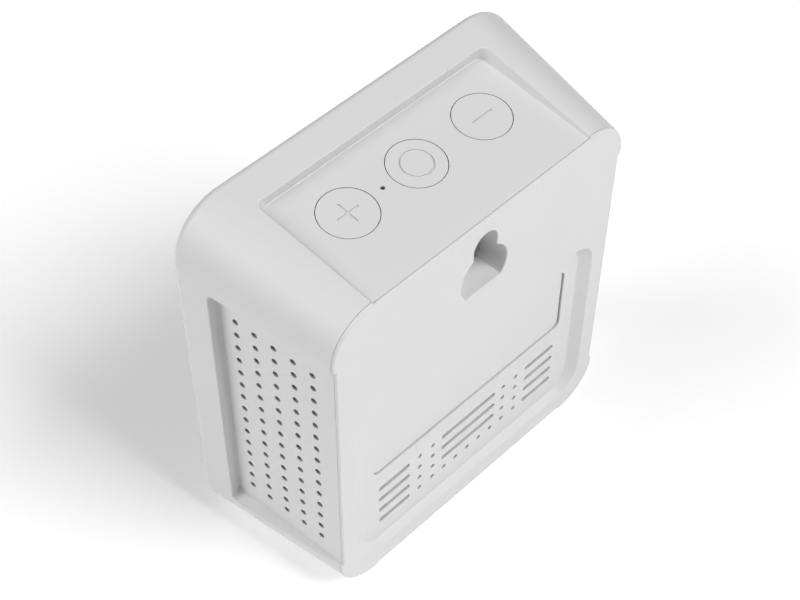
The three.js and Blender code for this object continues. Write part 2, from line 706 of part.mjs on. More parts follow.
function co2Sensor() {
  const { x, z, radius, height } = CO2_TUBE;
  return union(
    box(CO2.x, [PARTS_Y, PARTS_Y + CO2.height], CO2.z),
    box(CO2_MEMBRANE.x, [PARTS_Y + CO2.height - 0.2, PARTS_Y + CO2_MEMBRANE.height], CO2_MEMBRANE.z),
    cylinderY(radius, [PARTS_Y + CO2.height - 0.2, PARTS_Y + height], x, z),
  );
}

function buzzer() {
  const { x, z, radius, height, holeRadius } = BUZZER;
  const hole = cylinderY(holeRadius, [PARTS_Y + height - 1, PARTS_Y + height + 1], x, z, 12);
  return cylinderY(radius, [PARTS_Y, PARTS_Y + height], x, z, 24).subtract(hole);
}

// A small board that stands on the main board, close to the grille, so that it reads the room's air.
function humiditySensor() {
  const { x, thickness, z, height } = HUMIDITY;
  const { rise } = HUMIDITY_CHIP;
  const board = box([x, x + thickness], [PARTS_Y, PARTS_Y + height], z);
  const chipX = [x + thickness - 0.1, x + thickness + 0.9];
  return board.add(box(chipX, [PARTS_Y + rise[0], PARTS_Y + rise[1]], HUMIDITY_CHIP.z));
}

// ---------------------------------------------------------------- air filters and feet

// A thin dust mesh behind the grille of the right side, in the side floor's frame.
function sideFilter() {
  const top = -WALL - GAP;
  const length = (GRILLE.rows + 0.5) * GRILLE.rowPitch;
  return box([-length / 2, length / 2], [-28, -3.9], [top - 0.4, top]);
}

function ventFilter() {
  const y = POCKET_FLOOR_Y - PAN_WALL - GAP;
  return box([-30, 30], [y - 0.4, y], [12.5, 30.6]);
}

function footHeight(y) {
  return FLOOR.bottom.offset - (REAR_Y - y) * Math.tan(FLOOR.bottom.tilt) - GAP;
}

function rubberFoot(y) {
  const height = footHeight(y);
  return cylinderZ(FOOT.radius, [height * 0.5, height], 0, 0, 20).add(
    solid(
      new THREE.CylinderGeometry(FOOT.radius, FOOT.radius - 0.5, height * 0.55, 20)
        .rotateX(90 * DEG)
        .translate(0, 0, height * 0.275),
    ),
  );
}

// ---------------------------------------------------------------- scene graph

function material(color, roughness, metalness = 0) {
  return new THREE.MeshStandardMaterial({ color, roughness, metalness });
}

const MATERIALS = {
  casePlastic: material(0xe6e7e7, 0.55),
  lensGlass: material(0x17191b, 0.12),
  display: material(0x2a2f33, 0.35),
  circuitBoard: material(0x1f5a3a, 0.6),
  darkPlastic: material(0x2b2c2e, 0.55),
  greyPlastic: material(0x8f9295, 0.6),
  rubber: material(0xb9bbbc, 0.9),
  steel: material(0xb9bcc0, 0.35, 1),
  cell: material(0x3f5f7f, 0.4),
  mesh: material(0x55585b, 0.9),
  ribbon: material(0xc9812f, 0.5),
};

const monitor = new THREE.Group();

// Adds one named piece. "at" is where its own origin goes, and "frame" a tilted frame that it lies in.
function add(name, shape, look, { at = [0, 0, 0], frame = new THREE.Matrix4() } = {}) {
  const mesh = new THREE.Mesh(geometryOf(shape), MATERIALS[look]);
  mesh.name = name;
  const group = new THREE.Group();
  group.applyMatrix4(frame);
  mesh.position.set(...at);
  group.add(mesh);
  monitor.add(group);
}

add("front_case", frontCase(), "casePlastic");
add("rear_cover", rearCover(), "casePlastic");
add("battery_door", batteryDoor(), "casePlastic");
add("battery_cell", batteryCell(), "cell");
add("battery_contact", batteryContact(), "steel");
add("battery_spring", batterySpring(), "steel");

for (const [name, x] of Object.entries(BUTTON_X)) {
  const place = { at: [x, -BUTTON.fromRear, 0], frame: TOP_FRAME };
  add(`button_${name}`, buttonCap(name), "casePlastic", place);
  add(`switch_plunger_${name}`, switchPlunger(), "darkPlastic", place);
  add(`switch_${name}`, switchBody(), "greyPlastic", place);
}

add("button_board", buttonBoard(), "circuitBoard", { at: [0, -BUTTON.fromRear, 0], frame: TOP_FRAME });
for (const [name, side] of [["left", -1], ["right", 1]]) {
  const at = [side * BUTTON_BOARD.postX, -BUTTON.fromRear, 0];
  add(`button_board_screw_${name}`, buttonBoardScrew(), "steel", { at, frame: TOP_FRAME });
}
add("light_sensor", lightSensor(), "darkPlastic", {
  at: [BUTTON.pitch / 2, -BUTTON.fromRear, 0],
  frame: TOP_FRAME,
});

add("display_lens", displayLens(), "lensGlass");
add("display_panel", displayPanel(), "display");
add("main_board", mainBoard(), "circuitBoard");
bossPlaces().forEach(([x, z], i) => {
  add(`board_screw_${i + 1}`, boardScrew(), "steel", { at: [x, 0, z] });
});
add("display_ribbon", displayRibbon(), "ribbon");
add("button_ribbon", buttonRibbon(), "ribbon");
add("usb_port", usbPort(), "steel");

add("particulate_sensor", particulateSensor(), "greyPlastic");
add("sensor_fan", sensorFan(), "darkPlastic", {
  at: [FAN.x, SENSOR.rearY - FAN.height - 1.2, (SENSOR.bottom + SENSOR.top) / 2],
});
add("co2_sensor", co2Sensor(), "steel");
add("humidity_sensor", humiditySensor(), "circuitBoard");
add("buzzer", buzzer(), "darkPlastic");

add("side_filter_right", sideFilter(), "mesh", { frame: RIGHT_FRAME });
add("side_filter_left", sideFilter(), "mesh", { frame: RIGHT_FRAME.clone().premultiply(MIRROR_X) });
add("vent_filter", ventFilter(), "mesh");

const footPlaces = [FOOT.frontY, FOOT.rearY].flatMap((y) => [-FOOT.x, FOOT.x].map((x) => [x, y]));
footPlaces.forEach(([x, y], i) => {
  add(`rubber_foot_${i + 1}`, rubberFoot(y), "rubber", { at: [x, y, 0] });
});

export default monitor;
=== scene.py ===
"""Looks of the air quality monitor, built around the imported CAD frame.

The row frame is in metres, +Z up, with the front towards -Y. Shapes are built in millimetres
and scaled once.
"""

import json
import math

import bmesh
import bpy
from mathutils import Matrix, Vector


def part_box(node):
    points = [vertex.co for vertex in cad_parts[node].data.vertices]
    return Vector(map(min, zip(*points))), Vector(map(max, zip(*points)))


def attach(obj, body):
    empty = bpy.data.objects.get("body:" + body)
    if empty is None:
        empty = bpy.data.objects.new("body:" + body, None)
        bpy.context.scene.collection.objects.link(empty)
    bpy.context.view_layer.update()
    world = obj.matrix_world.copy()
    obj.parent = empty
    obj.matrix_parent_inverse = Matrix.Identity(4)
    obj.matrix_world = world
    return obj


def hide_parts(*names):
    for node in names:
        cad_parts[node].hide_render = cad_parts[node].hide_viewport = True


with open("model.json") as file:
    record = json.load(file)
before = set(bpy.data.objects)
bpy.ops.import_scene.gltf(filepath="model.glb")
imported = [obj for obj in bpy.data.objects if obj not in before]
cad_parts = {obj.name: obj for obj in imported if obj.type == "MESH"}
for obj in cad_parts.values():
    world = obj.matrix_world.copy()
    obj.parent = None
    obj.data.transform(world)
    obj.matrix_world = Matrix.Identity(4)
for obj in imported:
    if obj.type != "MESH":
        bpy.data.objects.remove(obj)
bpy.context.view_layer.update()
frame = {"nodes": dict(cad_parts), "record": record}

# ---------------------------------------------------------------- driving dimensions, in millimetres

MM = 0.001
SEAM = 0.08  # visible gap between the rear cover and the case
KEY_GAP = 0.14  # visible gap round a key
WALL = 2.2
THROUGH = 5  # how far a cutter runs past the face that it opens


def node_box(node):
    """Lowest and highest corner of a CAD node, in millimetres."""
    low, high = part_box(node)
    return low / MM, high / MM


REAR_Y = node_box("rear_cover")[1].y
FRONT_Y = node_box("display_lens")[0].y
DEPTH = REAR_Y - FRONT_Y

# Outline of the case at the rear face. It widens towards the front, where a fillet ends it.
REAR_HALF_WIDTH = 40.75
REAR_BOTTOM = 2.6
REAR_TOP = 92.9
REAR_RADIUS = 10.3
SIDE_TAPER = math.radians(8.4)
TOP_TAPER = math.radians(8.25)
BOTTOM_TAPER = math.radians(3.1)
RADIUS_GROWTH = 0.0615
FRONT_FILLET = 2.2

# Each side has a shallow recess, open at the rear and walled off by the front rim.
RECESS_LENGTH = 30.7
RECESS_CORNER = 1.6
RECESS_END_SLOPE = 0.6
RECESS_HEIGHT = 12
SIDE_FLOOR = {"offset": 40.13, "tilt": math.radians(4.74), "half": 33.6, "turn": math.radians(90)}
SIDE_FLOOR_Z = 47.4
TOP_FLOOR = {"offset": 92.3, "tilt": math.radians(4.72), "half": 29.9, "turn": 0}
BOTTOM_FLOOR = {"offset": 3.1, "tilt": math.radians(1.5), "half": 29.9, "turn": math.radians(180)}
CAVITY_RADIUS = 8

GRILLE_COLUMNS = 5
GRILLE_ROWS = 15
GRILLE_COLUMN_PITCH = 5
GRILLE_ROW_PITCH = 4
GRILLE_FIRST_COLUMN = 6.2
GRILLE_RADIUS = 0.75

COVER_EDGE = 0.6
COVER_PLATE = 2.2
PAN_WALL = 2.0
PAN_INSET = 0.8
PLUG_DEPTH = 3.3
PLUG_LAP = 0.3
PLUG_WALL = 1.4
POCKET = {"half_width": 35.8, "bottom": 8.3, "top": 59.2, "radius": 7}
POCKET_DEPTH = 1.87
POCKET_SIDE_RUN = 2.6
POCKET_END_RUN = 1.35
POCKET_FLOOR_Y = REAR_Y - POCKET_DEPTH

VENT_TOP_ROW = 27.3
VENT_ROW_PITCH = 3.94
VENT_ROWS = 4
SLOT_HALF_HEIGHT = 0.72
OUTER_SLOT = (18.3, 27.7)
MIDDLE_SLOT = (-8.5, 8.5)
DOT_RADIUS = 0.6
DOT_COLUMNS = (11.2, 15.25)
LAST_ROW_DOT_PITCH = 3.73

KEYHOLE_SLOT_RADIUS = 3.3
KEYHOLE_SLOT_Z = 85.0
KEYHOLE_HEAD_RADIUS = 6.6
KEYHOLE_HEAD_Z = 76.9
KEYHOLE_FLAT_Z = 72.6
KEYHOLE_LIP = 3
KEYHOLE_DEPTH = 7
KEYHOLE_UNDERCUT_HALF_WIDTH = 5
KEYHOLE_HOUSING_WALL = 1.5
KEYHOLE_HOUSING_TOP = 89.8

DOOR = {"half_width": 28.9, "bottom": 33.5, "top": 52.35, "radius": 1.8}
DOOR_SEAT_GAP = 0.17
DOOR_OUTER_Y = node_box("battery_door")[1].y
DOOR_INNER_Y = node_box("battery_door")[0].y
BAY = {"half_width": 27.6, "bottom": 34.8, "top": 51.1}
BAY_FLOOR_Y = 0.75
BAY_WALL = 1.3

KEY_RADIUS = 6.2
KEY_FLANGE = 7.4
KEY_FLANGE_THICKNESS = 0.8
KEY_STEM_RADIUS = 1.6
KEY_STEM_END = -5
KEY_PITCH = 18.53
KEY_FROM_REAR = 19.0
KEY_X = {"plus": KEY_PITCH, "ring": 0, "minus": -KEY_PITCH}
MARK_HALF_LENGTH = 2.8
MARK_HALF_WIDTH = 0.2
MARK_DEPTH = 0.22
MARK_RING_RADIUS = 3.43
PINHOLE_RADIUS = 0.5

LENS = {"half_width": 39.5, "bottom": 6.9, "top": 91.9, "radius": 8}
LENS_THICKNESS = 2
LENS_GAP = 0.2
GAP = 0.3  # clearance between parts inside the case
LEDGE_Y = FRONT_Y + LENS_THICKNESS + GAP
FRONT_WALL_Y = LEDGE_Y + 1.8
WINDOW = {"half_width": 32, "bottom": 36, "top": 84, "radius": 1.5}
USB_Y = -5.6
USB_OPENING_HALF_WIDTH = 5.2
USB_OPENING_HALF_DEPTH = 2.1
USB_OPENING_RADIUS = 1.9
EVERYWHERE = (-100, 100)  # reaches past the case on both sides

BOSS_X = 37
BOSS_Z = (11, 78)
BOSS_RADIUS = 2.3
BOSS_PILOT = 1.2
BOARD_FRONT_Y = -9.5
POST_X = 28.7
POST_RADIUS = 2
POST_PILOT = 1.15
KEY_BOARD_TOP = -9.6
HOOK_X = 22
HOOK_HALF_WIDTH = 3
HOOK_Y = 12.2
HOOK_THICKNESS = 1.2
HOOK_BARB = 0.9
HOOK_BARB_LENGTH = 1.6

CELL_CAP = 1.2
CELL_RADIUS = 7
SPRING_WIRE = 0.3
SPRING_TURNS = 2.5
SPRING_WIDE = 5
SPRING_NARROWING = 2.5

# Radii of the rounded edges.
LENS_EDGE = 0.35
USB_SHELL_EDGE = 0.12
HOLE_EDGE = 0.08
GRILLE_EDGE = 0.06
BODY_EDGE = 0.25
COVER_RIM_EDGE = 0.3
POCKET_EDGE = 0.18
KEYHOLE_EDGE = 0.25
KEY_EDGE = 0.12
MARK_EDGE = 0.05
SMOOTH_ANGLE = 32  # degrees between faces, above which an edge is shaded sharp

# An opening's rim starts a little wide of and above its surface, in multiples of the rim's radius,
# so that the cutter crosses the surface at an angle.
RIM_START_WIDER = 1.15
RIM_START_ABOVE = 0.2

# Painted shade in narrow holes and gaps: the reach in metres, the shares of open surroundings at which
# it is darkest and not darkened at all, and the brightness left at the darkest.
PAINTED_SHADE_REACH = 0.0028
PAINTED_SHADE_DARKEST = 0.1
PAINTED_SHADE_CLEAR = 0.5
PAINTED_SHADE_BRIGHTNESS = 0.16

# The camera's place in metres and its turn in degrees, near the pose solved from the photo.
CAMERA_PLACE = (0.1667, 0.16082, 0.32913)
CAMERA_TURN = (39.877, -0.219, 134.877)
CAMERA_LENS = 76.33

FLOOR_HALF_WIDTH = 3  # metres
FLOOR_GLOW = 0.2
WORLD_STRENGTH = 0.02
AIM = Vector((0, 0, 0.05))  # the point in metres that every softbox faces

# ---------------------------------------------------------------- meshes


def mesh_object(name, vertices, faces):
    mesh = bpy.data.meshes.new(name)
    mesh.from_pydata([tuple(v) for v in vertices], [], faces)
    mesh.validate()
    built = bpy.data.objects.new(name, mesh)
    bpy.context.scene.collection.objects.link(built)
    return built


def rounded(half_width, bottom, top, radius, steps=8, grow=0):
    """Points (x, z) of a rectangle with round corners, counter-clockwise from its +X side."""
    half_width, bottom, top, radius = half_width + grow, bottom - grow, top + grow, radius + grow
    centres = [
        (half_width - radius, top - radius),
        (radius - half_width, top - radius),
        (radius - half_width, bottom + radius),
        (half_width - radius, bottom + radius),
    ]
    points = []
    for corner, (x, z) in enumerate(centres):
        for step in range(steps + 1):
            angle = (corner + step / steps) * math.pi / 2
            points.append((x + radius * math.cos(angle), z + radius * math.sin(angle)))
    return points


def loft(name, rings):
    """A closed solid through rings of equal length. Its faces point out."""
    count = len(rings[0])
    vertices = [v for ring in rings for v in ring]
    faces = []
    for ring in range(len(rings) - 1):
        for i in range(count):
            a = ring * count + i
            b = ring * count + (i + 1) % count
            faces.append((a, b, b + count, a + count))
    faces.append(tuple(reversed(range(count))))
    faces.append(tuple(range(len(vertices) - count, len(vertices))))
    built = mesh_object(name, vertices, faces)
    edit = bmesh.new()
    edit.from_mesh(built.data)
    bmesh.ops.recalc_face_normals(edit, faces=edit.faces)
    edit.to_mesh(built.data)
    edit.free()
    return built


def prism(name, outline, span):
    """An outline in X and Z, run along Y over a span."""
    return loft(name, [[(x, y, z) for x, z in outline] for y in span])


def block(name, xs, ys, zs):
    outline = [(xs[0], zs[0]), (xs[1], zs[0]), (xs[1], zs[1]), (xs[0], zs[1])]
    return prism(name, outline, ys)


def circle(radius, sides, x=0.0, z=0.0):
    turns = [2 * math.pi * i / sides for i in range(sides)]
    return [(x + radius * math.cos(turn), z + radius * math.sin(turn)) for turn in turns]


def post_y(name, radius, span, x, z, sides=32):
    return prism(name, circle(radius, sides, x, z), span)


def post_z(name, radius, span, x, y, sides=32):
    return loft(name, [[(px, py, z) for px, py in circle(radius, sides, x, y)] for z in span])


def flare(name, ring_at, depth, edge, steps=3):
    """Cuts an opening with a rounded rim. ring_at gives the opening's outline, grown, at a depth."""
    wider = RIM_START_WIDER * edge
    rings = [ring_at(wider, -1), ring_at(wider, -RIM_START_ABOVE * edge)]
    for step in range(1, steps + 1):
        turn = step / steps * math.pi / 2
        rings.append(ring_at(edge * (1 - math.sin(turn)), edge * (1 - math.cos(turn))))
    rings.append(ring_at(0, depth))
    return loft(name, rings)


def round_hole(radius, depth, x, y, sides, edge):
    """A hole down through a floor at z = 0, with a rounded rim."""
    return flare(
        "hole",
        lambda grow, down: [(px, py, -down) for px, py in circle(radius + grow, sides, x, y)],
        depth,
        edge,
    )


def joined(pieces):
    """Separate solids as one mesh."""
    edit = bmesh.new()
    for piece in pieces:
        edit.from_mesh(piece.data)
        bpy.data.objects.remove(piece)
    merged = bpy.data.meshes.new("joined")
    edit.to_mesh(merged)
    edit.free()
    built = bpy.data.objects.new("joined", merged)
    bpy.context.scene.collection.objects.link(built)
    return built


def placed(piece, matrix):
    piece.data.transform(matrix)
    if matrix.determinant() < 0:
        piece.data.flip_normals()
    return piece


def combine(target, tool, operation):
    """Joins, cuts or intersects two solids, and leaves only the result."""
    modifier = target.modifiers.new("combine", "BOOLEAN")
    modifier.operation = operation
    modifier.solver = "EXACT"
    modifier.object = tool
    depsgraph = bpy.context.evaluated_depsgraph_get()
    result = bpy.data.meshes.new_from_object(target.evaluated_get(depsgraph))
    target.modifiers.clear()
    target.data = result
    bpy.data.objects.remove(tool)
    return target


def add(target, *tools):
    for tool in tools:
        combine(target, tool, "UNION")
    return target


def cut(target, *tools):
    for tool in tools:
        combine(target, tool, "DIFFERENCE")
    return target


def round_edges(piece, width, least_angle, segments=3, where=None):
    """Rounds the edges sharper than an angle, in degrees, and where a test of the edge's middle says so."""
    edit = bmesh.new()
    edit.from_mesh(piece.data)
    bmesh.ops.remove_doubles(edit, verts=edit.verts, dist=1e-4)
    sharp = [
        edge
        for edge in edit.edges
        if len(edge.link_faces) == 2
        and edge.calc_face_angle(0) > math.radians(least_angle)
        and (where is None or where((edge.verts[0].co + edge.verts[1].co) / 2))
    ]
    bmesh.ops.bevel(
        edit,
        geom=sharp,
        offset=width,
        offset_type="OFFSET",
        segments=segments,
        profile=0.5,
        affect="EDGES",
        clamp_overlap=False,
        loop_slide=False,
    )
    edit.to_mesh(piece.data)
    edit.free()
    return piece


# ---------------------------------------------------------------- case shape


def case_ring(ahead, inset=0.0, steps=18):
    """The outer outline at a distance ahead of the rear face, as points."""
    return rounded(
        REAR_HALF_WIDTH + ahead * math.tan(SIDE_TAPER) - inset,
        REAR_BOTTOM - ahead * math.tan(BOTTOM_TAPER) + inset,
        REAR_TOP + ahead * math.tan(TOP_TAPER) - inset,
        REAR_RADIUS + ahead * RADIUS_GROWTH - inset,
        steps,
    )


def at_depth(outline, ahead):
    return [(x, REAR_Y - ahead, z) for x, z in outline]


def outer_block():
    fillet_start = DEPTH - FRONT_FILLET
    rings = [at_depth(case_ring(0), 0)]
    fillet_steps = 8
    for step in range(fillet_steps + 1):
        angle = step / fillet_steps * math.pi / 2
        inset = FRONT_FILLET * (1 - math.cos(angle))
        ahead = fillet_start + FRONT_FILLET * math.sin(angle)
        rings.append(at_depth(case_ring(fillet_start, inset), ahead))
    return loft("body", rings)


def floor_frame(floor, x, z):
    """Puts a floor's own frame in place: X along the recess, Y to the rear, Z out of it."""
    turned = Matrix.Rotation(floor["turn"], 4, "Y") @ Matrix.Rotation(-floor["tilt"], 4, "X")
    return Matrix.Translation((x, REAR_Y, z)) @ turned


TOP_FRAME = floor_frame(TOP_FLOOR, 0, TOP_FLOOR["offset"])
BOTTOM_FRAME = floor_frame(BOTTOM_FLOOR, 0, BOTTOM_FLOOR["offset"])
RIGHT_FRAME = floor_frame(SIDE_FLOOR, SIDE_FLOOR["offset"], SIDE_FLOOR_Z)
LEFT_FRAME = Matrix.Scale(-1, 4, (1, 0, 0)) @ RIGHT_FRAME


def recess_cutter(half, matrix):
    """The space above a recess floor: sloped end walls, an upright front wall and round front corners."""
    rings = []
    for z in (0, RECESS_HEIGHT):
        reach = half + z * RECESS_END_SLOPE
        ring = [(-reach, THROUGH, z)]
        steps = 6
        for side, start in ((-1, 180), (1, 270)):
            for step in range(steps + 1):
                angle = math.radians(start + 90 * step / steps)
                x = side * (reach - RECESS_CORNER) + RECESS_CORNER * math.cos(angle)
                y = RECESS_CORNER - RECESS_LENGTH + RECESS_CORNER * math.sin(angle)
                ring.append((x, y, z))
        ring.append((reach, THROUGH, z))
        rings.append(ring)
    return placed(loft("recess", rings), matrix)


def outer_body():
    body = outer_block()
    cut(
        body,
        recess_cutter(TOP_FLOOR["half"], TOP_FRAME),
        recess_cutter(BOTTOM_FLOOR["half"], BOTTOM_FRAME),
        recess_cutter(SIDE_FLOOR["half"], RIGHT_FRAME),
        recess_cutter(SIDE_FLOOR["half"], LEFT_FRAME),
    )
    return round_edges(body, BODY_EDGE, 18, 4, lambda middle: middle.y < REAR_Y - 0.01)


def part_of_body(near_y, far_y):
    """The outer body between two upright planes."""
    slab = block("slab", EVERYWHERE, (near_y, far_y), EVERYWHERE)
    return combine(outer_body(), slab, "INTERSECT")


def cavity_outline(ahead):
    """The inside of the case, one wall in from the recess floors."""
    return {
        "half_width": SIDE_FLOOR["offset"] + ahead * math.tan(SIDE_FLOOR["tilt"]) - WALL,
        "bottom": BOTTOM_FLOOR["offset"] - ahead * math.tan(BOTTOM_FLOOR["tilt"]) + WALL,
        "top": TOP_FLOOR["offset"] + ahead * math.tan(TOP_FLOOR["tilt"]) - WALL,
        "radius": CAVITY_RADIUS,
    }


# ---------------------------------------------------------------- front case


def cavity():
    deep = REAR_Y - FRONT_WALL_Y
    return loft("cavity", [at_depth(rounded(**cavity_outline(ahead)), ahead) for ahead in (-THROUGH, deep)])


def grille_holes(matrix):
    holes = []
    for column in range(GRILLE_COLUMNS):
        back = -GRILLE_FIRST_COLUMN - column * GRILLE_COLUMN_PITCH
        for row in range(GRILLE_ROWS):
            along = (row - (GRILLE_ROWS - 1) / 2) * GRILLE_ROW_PITCH
            holes.append(round_hole(GRILLE_RADIUS, WALL + 2, along, back, 20, GRILLE_EDGE))
    return placed(joined(holes), matrix)


def key_holes():
    through = WALL + 2
    radius = KEY_RADIUS + KEY_GAP
    holes = [round_hole(radius, through, x, -KEY_FROM_REAR, 96, HOLE_EDGE) for x in KEY_X.values()]
    holes.append(round_hole(PINHOLE_RADIUS, through, KEY_PITCH / 2, -KEY_FROM_REAR, 24, HOLE_EDGE))
    return placed(joined(holes), TOP_FRAME)


def board_bosses():
    bosses = []
    for x in (-BOSS_X, BOSS_X):
        for z in BOSS_Z:
            boss = post_y("boss", BOSS_RADIUS, (FRONT_WALL_Y - 0.5, BOARD_FRONT_Y - GAP), x, z)
            cut(boss, post_y("pilot", BOSS_PILOT, (BOARD_FRONT_Y - 5, BOARD_FRONT_Y + 1), x, z, 24))
            bosses.append(boss)
    return bosses


def key_board_posts():
    posts = []
    for x in (-POST_X, POST_X):
        post = post_z("post", POST_RADIUS, (KEY_BOARD_TOP + GAP, 0.4 - WALL), x, -KEY_FROM_REAR)
        pilot_span = (KEY_BOARD_TOP - 1, KEY_BOARD_TOP + 5)
        cut(post, post_z("pilot", POST_PILOT, pilot_span, x, -KEY_FROM_REAR, 24))
        posts.append(placed(post, TOP_FRAME))
    return posts


def snap_hooks(grow=0.0):
    """Hooks of the rear cover. With grow they are the notches that the hooks' barbs catch in."""
    hooks = []
    top = TOP_FLOOR["offset"] - WALL - 0.5
    bottom = BOTTOM_FLOOR["offset"] + WALL + 0.5
    for x in (-HOOK_X, HOOK_X):
        across = (x - HOOK_HALF_WIDTH - grow, x + HOOK_HALF_WIDTH + grow)
        for z, out in ((top, 1), (bottom, -1)):
            barb = sorted((z - out * 0.1, z + out * (HOOK_BARB + grow)))
            hook = block("hook", across, (HOOK_Y - grow, HOOK_Y + HOOK_BARB_LENGTH + grow), barb)
            if grow == 0:
                tab = sorted((z, z - out * HOOK_THICKNESS))
                add(hook, block("tab", across, (HOOK_Y, REAR_Y - COVER_PLATE + 0.5), tab))
            hooks.append(hook)
    return hooks


def lens_seat():
    def ring_at(grow, depth):
        return [(x, FRONT_Y + depth, z) for x, z in rounded(**LENS, grow=LENS_GAP + grow, steps=12)]

    return flare("seat", ring_at, LEDGE_Y - FRONT_Y, HOLE_EDGE)


def usb_opening():
    low, high = USB_Y - USB_OPENING_HALF_DEPTH, USB_Y + USB_OPENING_HALF_DEPTH

    def ring_at(grow, depth):
        outline = rounded(USB_OPENING_HALF_WIDTH, low, high, USB_OPENING_RADIUS, grow=grow)
        return [(x, y, bottom_floor_height(y) + depth) for x, y in outline]

    return flare("usb_opening", ring_at, 6, HOLE_EDGE)


def bottom_floor_height(y):
    return BOTTOM_FLOOR["offset"] - (REAR_Y - y) * math.tan(BOTTOM_FLOOR["tilt"])


def front_case():
    case = part_of_body(FRONT_Y - 1, REAR_Y - COVER_EDGE - SEAM)
    cut(case, cavity())
    add(case, *board_bosses(), *key_board_posts())
    cut(
        case,
        lens_seat(),
        prism("window", rounded(**WINDOW), (LEDGE_Y - 1, FRONT_WALL_Y + 1)),
        key_holes(),
        grille_holes(RIGHT_FRAME),
        grille_holes(LEFT_FRAME),
        usb_opening(),
        *snap_hooks(GAP),
    )
    return case


# ---------------------------------------------------------------- rear cover


def vent_slot(ends, z):
    """A slot along X with round ends."""
    reach = SLOT_HALF_HEIGHT
    middle = (ends[0] + ends[1]) / 2
    half = (ends[1] - ends[0]) / 2

    def ring_at(grow, depth):
        outline = rounded(half, z - reach, z + reach, reach - 0.01, grow=grow)
        return at_depth([(x + middle, height) for x, height in outline], POCKET_DEPTH + depth)

    return flare("slot", ring_at, PAN_WALL + 1, HOLE_EDGE)


def vent_dot(x, z):
    return flare(
        "dot",
        lambda grow, depth: at_depth(circle(DOT_RADIUS + grow, 20, x, z), POCKET_DEPTH + depth),
        PAN_WALL + 1,
        HOLE_EDGE,
    )


def vents():
    openings = []
    for row in range(VENT_ROWS):
        z = VENT_TOP_ROW - row * VENT_ROW_PITCH
        last = row == VENT_ROWS - 1
        slots = [OUTER_SLOT, (-OUTER_SLOT[1], -OUTER_SLOT[0])] + ([] if last else [MIDDLE_SLOT])
        dots = [side * x for x in DOT_COLUMNS for side in (-1, 1)]
        if last:
            dots += [i * LAST_ROW_DOT_PITCH for i in range(-2, 3)]
        openings += [vent_slot(ends, z) for ends in slots]
        openings += [vent_dot(x, z) for x in dots]
    return joined(openings)


def keyhole():
    """The screw's head enters the wide lobe, which has a flat bottom, and slides up behind the lip."""
    past_face = REAR_Y + 1
    head = post_y("head", KEYHOLE_HEAD_RADIUS, (REAR_Y - KEYHOLE_DEPTH, past_face), 0, KEYHOLE_HEAD_Z, 64)
    below = (KEYHOLE_FLAT_Z - KEYHOLE_HEAD_RADIUS, KEYHOLE_FLAT_Z)
    cut(head, block("flat", EVERYWHERE, (REAR_Y - KEYHOLE_DEPTH - 1, past_face + 1), below))
    slot_span = (REAR_Y - KEYHOLE_LIP - 0.1, past_face)
    reach = KEYHOLE_SLOT_RADIUS
    slot_outline = rounded(reach, KEYHOLE_HEAD_Z - 4, KEYHOLE_SLOT_Z + reach, reach - 0.01, 20)
    slot = prism("slot", slot_outline, slot_span)
    undercut_top = KEYHOLE_SLOT_Z + reach
    undercut_span = (REAR_Y - KEYHOLE_DEPTH, REAR_Y - KEYHOLE_LIP)
    across = (-KEYHOLE_UNDERCUT_HALF_WIDTH, KEYHOLE_UNDERCUT_HALF_WIDTH)
    undercut = block("undercut", across, undercut_span, (KEYHOLE_HEAD_Z, undercut_top))
    return add(head, slot, undercut)


def pocket():
    floor = rounded(
        POCKET["half_width"] - POCKET_SIDE_RUN,
        POCKET["bottom"] + POCKET_END_RUN,
        POCKET["top"] - POCKET_END_RUN,
        POCKET["radius"] - POCKET_END_RUN,
        12,
    )
    mouth = rounded(**POCKET, steps=12)
    return loft("pocket", [at_depth(mouth, -1), at_depth(mouth, 0), at_depth(floor, POCKET_DEPTH)])


def cover_inside():
    """The plug that fits in the case, the pocket's pan, the battery bay and the keyhole's housing."""
    inside = cavity_outline(0)
    plug = prism("plug", rounded(**inside, grow=-GAP), (REAR_Y - PLUG_DEPTH, REAR_Y - PLUG_LAP))
    hollow = rounded(**inside, grow=-GAP - PLUG_WALL)
    cut(plug, prism("hollow", hollow, (REAR_Y - 4, REAR_Y - COVER_PLATE)))
    pan = prism("pan", rounded(**POCKET, grow=-PAN_INSET), (POCKET_FLOOR_Y - PAN_WALL, REAR_Y - 1))
    half = BAY["half_width"] + BAY_WALL
    bay_y = (BAY_FLOOR_Y - BAY_WALL, POCKET_FLOOR_Y - 0.5)
    bay = block("bay", (-half, half), bay_y, (BAY["bottom"] - BAY_WALL, BAY["top"] + BAY_WALL))
    side = KEYHOLE_HEAD_RADIUS + KEYHOLE_HOUSING_WALL
    housing_y = (REAR_Y - KEYHOLE_DEPTH - KEYHOLE_HOUSING_WALL, REAR_Y - 1)
    housing_z = (KEYHOLE_FLAT_Z - KEYHOLE_HOUSING_WALL, KEYHOLE_HOUSING_TOP)
    housing = block("housing", (-side, side), housing_y, housing_z)
    return add(plug, pan, bay, housing, *snap_hooks())


def door_seat():
    def ring_at(grow, depth):
        return at_depth(rounded(**DOOR, grow=DOOR_SEAT_GAP + grow), POCKET_DEPTH + depth)

    return flare("seat", ring_at, POCKET_FLOOR_Y - DOOR_INNER_Y + GAP, HOLE_EDGE)


def on_rear_face(middle):
    return middle.y > REAR_Y - 0.01


def near_pocket(middle):
    """Whether a point lies in a box round the pocket, from its floor out."""
    beside = abs(middle.x) < POCKET["half_width"] + 1
    return middle.y > POCKET_FLOOR_Y - 0.05 and beside and 7 < middle.z < 60


def near_keyhole(middle):
    return on_rear_face(middle) and abs(middle.x) < 8 and middle.z > 70


